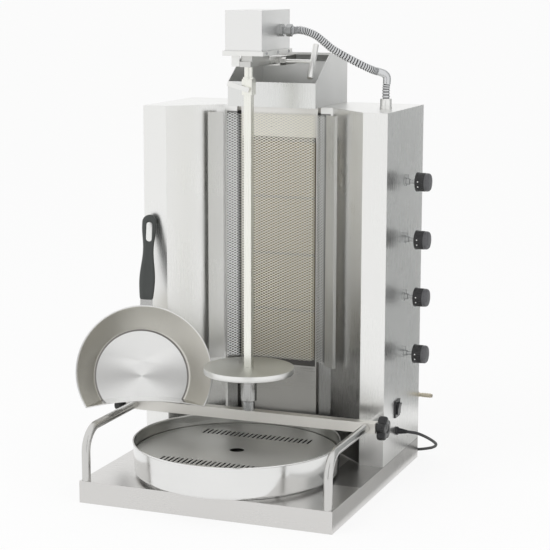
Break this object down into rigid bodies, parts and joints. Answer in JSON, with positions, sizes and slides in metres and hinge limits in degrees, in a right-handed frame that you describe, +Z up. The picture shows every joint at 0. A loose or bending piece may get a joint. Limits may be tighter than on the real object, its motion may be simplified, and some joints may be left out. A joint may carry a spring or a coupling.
{
  "type": "vertical spit grill",
  "caption": "Counter-top vertical spit grill with infrared gas burners behind a mesh guard, a motor-driven sliding spit, a round drip pan and a leaning catch pan.",
  "frame": {"origin": "middle of the base tray's underside, where it stands on the counter", "axes": "+Z up, -Y towards the user and the drip pan, +X towards the side with the knobs"},
  "size_m": [0.6774, 0.774, 0.9982],
  "materials": {
    "stainless": "brushed",
    "pale_steel": "satin",
    "polished_steel": "polished",
    "zinc": "zinc plated",
    "burner_housing": "heat-stained",
    "burner_ceramic": "matt, pierced",
    "brass": "machined",
    "knob_plastic": "gloss",
    "switch_plastic": "gloss",
    "handle_plastic": "matt",
    "lead_rubber": "satin",
    "motor_paint": "satin"
  },
  "bodies": {
    "body": {"base_tray": "stainless", "wing_left": "stainless", "wing_right": "stainless", "rear_panel": "stainless", "burner_panel": "pale_steel", "hood": "stainless", "mesh_guard": "pale_steel", "guard_strips": "stainless", "burner_1": "burner_housing", "burner_2": "burner_housing", "burner_3": "burner_housing", "burner_4": "burner_housing", "burner_tiles": "burner_ceramic", "gas_manifold": "brass", "gas_valves": "brass", "injectors": "brass", "gas_inlet": "brass", "gas_nozzle": "brass", "panel_nuts": "zinc", "switch_bezel": "switch_plastic", "cord_gland": "switch_plastic", "mains_cord": "lead_rubber", "mains_coil": "lead_rubber", "mains_plug": "lead_rubber", "motor_conduit": "zinc", "conduit_fittings": "zinc", "arm_guide": "stainless", "rail_left": "pale_steel", "rail_right": "pale_steel", "screws": "zinc"},
    "gas_control_1": {"valve_stem_1": "zinc", "knob_1": "knob_plastic"},
    "gas_control_2": {"valve_stem_2": "zinc", "knob_2": "knob_plastic"},
    "gas_control_3": {"valve_stem_3": "zinc", "knob_3": "knob_plastic"},
    "gas_control_4": {"valve_stem_4": "zinc", "knob_4": "knob_plastic"},
    "motor_switch": {"switch_rocker": "switch_plastic"},
    "drive": {"slide_arm": "stainless", "motor_tray": "pale_steel", "motor_cover": "pale_steel", "gearmotor": "motor_paint", "motor_gland": "zinc"},
    "clamp_lever": {"arm_clamp": "pale_steel"},
    "spit": {"output_shaft": "polished_steel", "coupling": "polished_steel", "spit_rod": "pale_steel", "spit_disc": "pale_steel", "disc_hub": "stainless"},
    "spit_lock": {"lock_lever": "pale_steel"},
    "bar": {"cross_bar": "pale_steel", "bearing_cup": "zinc"},
    "bar_clamp_left": {"bar_knob_left": "knob_plastic"},
    "bar_clamp_right": {"bar_knob_right": "knob_plastic"},
    "drip_tray": {"drip_pan": "polished_steel"},
    "slotted_plate": {"drip_plate": "stainless"},
    "hand_pan": {"catch_pan": "pale_steel", "catch_handle": "handle_plastic", "catch_tang": "stainless"}
  },
  "joints": [
    {"name": "gas_knob_1_turn", "type": "hinge", "parent": "body", "child": "gas_control_1", "pos_m": [0.3, 0.155, 0.269], "axis": [1, 0, 0], "range_deg": [0, 180]},
    {"name": "gas_knob_2_turn", "type": "hinge", "parent": "body", "child": "gas_control_2", "pos_m": [0.3, 0.155, 0.3925], "axis": [1, 0, 0], "range_deg": [0, 180]},
    {"name": "gas_knob_3_turn", "type": "hinge", "parent": "body", "child": "gas_control_3", "pos_m": [0.3, 0.155, 0.516], "axis": [1, 0, 0], "range_deg": [0, 180]},
    {"name": "gas_knob_4_turn", "type": "hinge", "parent": "body", "child": "gas_control_4", "pos_m": [0.3, 0.155, 0.6395], "axis": [1, 0, 0], "range_deg": [0, 180]},
    {"name": "switch_rock", "type": "hinge", "parent": "body", "child": "motor_switch", "pos_m": [0.276, 0.124, 0.153], "axis": [0, 1, 0], "range_deg": [-16, 0]},
    {"name": "arm_slide", "type": "slide", "parent": "body", "child": "drive", "axis": [0, 1, 0], "range_m": [0, 0.05], "deforming": ["motor_conduit"]},
    {"name": "clamp_turn", "type": "hinge", "parent": "body", "child": "clamp_lever", "pos_m": [0.05, 0.104, 0.8895], "axis": [1, 0, 0], "range_deg": [0, 90]},
    {"name": "spit_spin", "type": "hinge", "parent": "drive", "child": "spit", "pos_m": [0, -0.042, 0.5], "axis": [0, 0, 1], "continuous": true},
    {"name": "spit_lock_turn", "type": "hinge", "parent": "spit", "child": "spit_lock", "pos_m": [0, -0.055, 0.839], "axis": [0, 1, 0], "range_deg": [-60, 60]},
    {"name": "bar_slide", "type": "slide", "parent": "body", "child": "bar", "axis": [0, 1, 0], "range_m": [0, 0.05]},
    {"name": "bar_clamp_left_turn", "type": "hinge", "parent": "bar", "child": "bar_clamp_left", "pos_m": [-0.29, -0.042, 0.1525], "axis": [1, 0, 0], "range_deg": [0, 360]},
    {"name": "bar_clamp_right_turn", "type": "hinge", "parent": "bar", "child": "bar_clamp_right", "pos_m": [0.29, -0.042, 0.1525], "axis": [1, 0, 0], "range_deg": [0, 360]},
    {"name": "drip_tray_slide", "type": "slide", "parent": "body", "child": "drip_tray", "axis": [0, -1, 0], "range_m": [0, 0.17]},
    {"name": "slotted_plate_lift", "type": "slide", "parent": "drip_tray", "child": "slotted_plate", "axis": [0, 0, 1], "range_m": [0, 0.04]},
    {"name": "hand_pan_lift", "type": "slide", "parent": "body", "child": "hand_pan", "axis": [-0.5, -0.5, 0.7071], "range_m": [0, 0.15]}
  ],
  "couplings": [
    {"joint": "bar_slide", "follows": "arm_slide", "ratio": 1}
  ]
}
